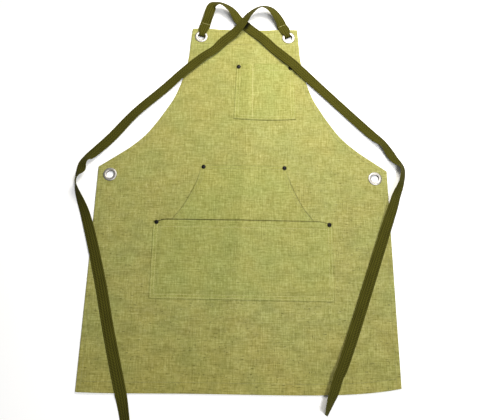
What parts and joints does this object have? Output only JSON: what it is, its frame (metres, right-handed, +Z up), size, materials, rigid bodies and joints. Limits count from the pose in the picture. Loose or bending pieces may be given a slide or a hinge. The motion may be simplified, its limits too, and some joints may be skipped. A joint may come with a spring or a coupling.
{
  "type": "canvas apron",
  "caption": "Bib apron of linen coloured canvas lying flat, with chest, hand-warmer and front pockets, nickel eyelets, dark rivets and crossed olive webbing straps.",
  "frame": {"origin": "middle of the canvas panel's outline, on the surface that the apron lies on", "axes": "+X to the right as seen from the front (the wearer's left), +Y from the hem to the bib, +Z up out of the front"},
  "size_m": [0.7238, 0.9551, 0.0351],
  "materials": {
    "canvas": "natural slubbed canvas, matt",
    "webbing": "woven olive cotton webbing, matt",
    "nickel": "polished nickel plate",
    "black_rivet": "blackened, half gloss"
  },
  "bodies": {
    "root": {"body_panel": "canvas", "kangaroo_pocket": "canvas", "front_pocket": "canvas", "bib_pocket": "canvas", "grommet_top_left": "nickel", "washer_top_left": "nickel", "grommet_top_right": "nickel", "washer_top_right": "nickel", "grommet_side_left": "nickel", "washer_side_left": "nickel", "grommet_side_right": "nickel", "washer_side_right": "nickel", "rivet_bib_left": "black_rivet", "rivet_bib_right": "black_rivet", "rivet_hand_left": "black_rivet", "rivet_hand_right": "black_rivet", "rivet_front_left": "black_rivet", "rivet_front_right": "black_rivet", "strap_left": "webbing", "strap_right": "webbing"}
  },
  "joints": []
}
